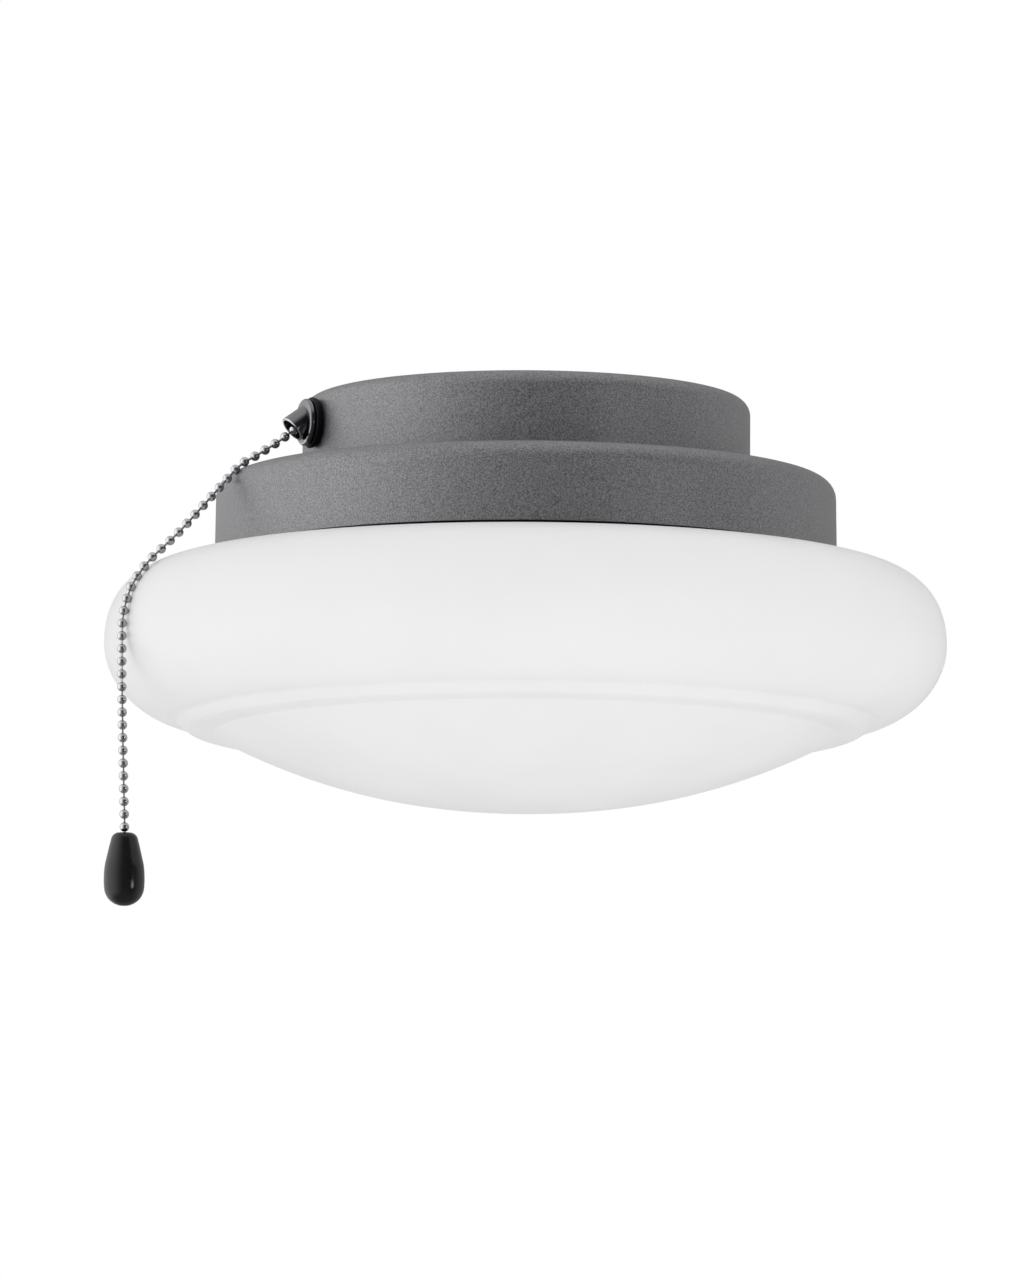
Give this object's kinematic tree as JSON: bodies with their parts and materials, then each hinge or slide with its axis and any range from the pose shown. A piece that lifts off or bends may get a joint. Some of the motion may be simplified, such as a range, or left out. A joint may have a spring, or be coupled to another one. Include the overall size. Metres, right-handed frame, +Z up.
{
  "type": "ceiling fan light kit",
  "caption": "Shallow round light kit for a ceiling fan: two-step metal housing, wide doughnut-shaped opal glass bowl and a side pull chain with a drop-shaped knob.",
  "frame": {"origin": "centre of the flat top that seats against the fan", "axes": "+Z up, the camera side is -Y, the pull chain leaves to the left and a little to the front"},
  "size_m": [0.2798, 0.2798, 0.1749],
  "materials": {
    "graphite_powder_coat": "fine sand-textured powder coat",
    "opal_glass": "opal white, satin",
    "dark_nickel": "polished dark nickel plate",
    "black_rubber": "matt moulded rubber",
    "black_gloss_plastic": "polished black",
    "zinc_steel": "zinc plated",
    "white_enamel": "gloss white enamel",
    "board_white": "white solder mask",
    "natural_plastic": "moulded",
    "brown_phenolic": "moulded phenolic",
    "brass": "stamped",
    "spring_steel": "bright spring steel",
    "black_wire": "wire insulation",
    "white_wire": "wire insulation",
    "red_wire": "wire insulation"
  },
  "bodies": {
    "housing": {"upper_housing": "graphite_powder_coat", "lower_housing": "graphite_powder_coat", "chain_nozzle": "dark_nickel", "wall_grommet": "black_rubber", "rim_gasket": "black_rubber", "cross_strap": "zinc_steel", "hollow_stem": "zinc_steel", "stem_nut_upper": "zinc_steel", "stem_nut_lower": "zinc_steel", "lock_washer": "zinc_steel", "board_screw_1": "zinc_steel", "board_screw_2": "zinc_steel", "board_screw_3": "zinc_steel", "driver_screw_1": "zinc_steel", "driver_screw_2": "zinc_steel", "clip_rivet_1": "zinc_steel", "clip_rivet_2": "zinc_steel", "clip_rivet_3": "zinc_steel", "reflector_pan": "white_enamel", "lamp_board": "board_white", "driver_board": "board_white", "supply_socket": "natural_plastic", "driver_case": "natural_plastic", "driver_lid": "natural_plastic", "switch_body": "brown_phenolic", "switch_cover": "brown_phenolic", "line_terminal": "brass", "load_terminal": "brass", "retainer_clip_1": "spring_steel", "retainer_clip_2": "spring_steel", "retainer_clip_3": "spring_steel", "switch_spring": "spring_steel", "line_wire": "black_wire", "lamp_wire_minus": "black_wire", "neutral_wire": "white_wire", "switched_wire": "red_wire", "lamp_wire_plus": "red_wire"},
    "glass": {"glass_bowl": "opal_glass", "glass_collar": "zinc_steel"},
    "pull": {"pull_chain": "dark_nickel", "pull_knob": "black_gloss_plastic"},
    "slider": {"switch_slider": "brass"},
    "rotor": {"contact_rotor": "natural_plastic", "contact_bridge": "brass"}
  },
  "joints": [
    {"name": "chain_pull", "type": "slide", "parent": "housing", "child": "pull", "axis": [0, 0, -1], "range_m": [0, 0.009], "stiffness_N_per_m": 300, "springref_m": -0.003, "deforming": ["pull_chain"]},
    {"name": "slider_slide", "type": "slide", "parent": "housing", "child": "slider", "axis": [-0.9336, -0.3584, 0], "range_m": [0, 0.009], "deforming": ["switch_spring"]},
    {"name": "rotor_turn", "type": "hinge", "parent": "housing", "child": "rotor", "pos_m": [-0.05648, -0.02168, -0.0145], "axis": [0, 0, -1], "range_deg": [0, 90.5]},
    {"name": "glass_twist", "type": "hinge", "parent": "housing", "child": "glass", "pos_m": [0, 0, -0.05], "axis": [0, 0, 1], "range_deg": [0, 30]}
  ],
  "couplings": [
    {"joint": "slider_slide", "follows": "chain_pull", "ratio": 1},
    {"joint": "rotor_turn", "follows": "chain_pull", "rad_per_m": 174.53}
  ]
}
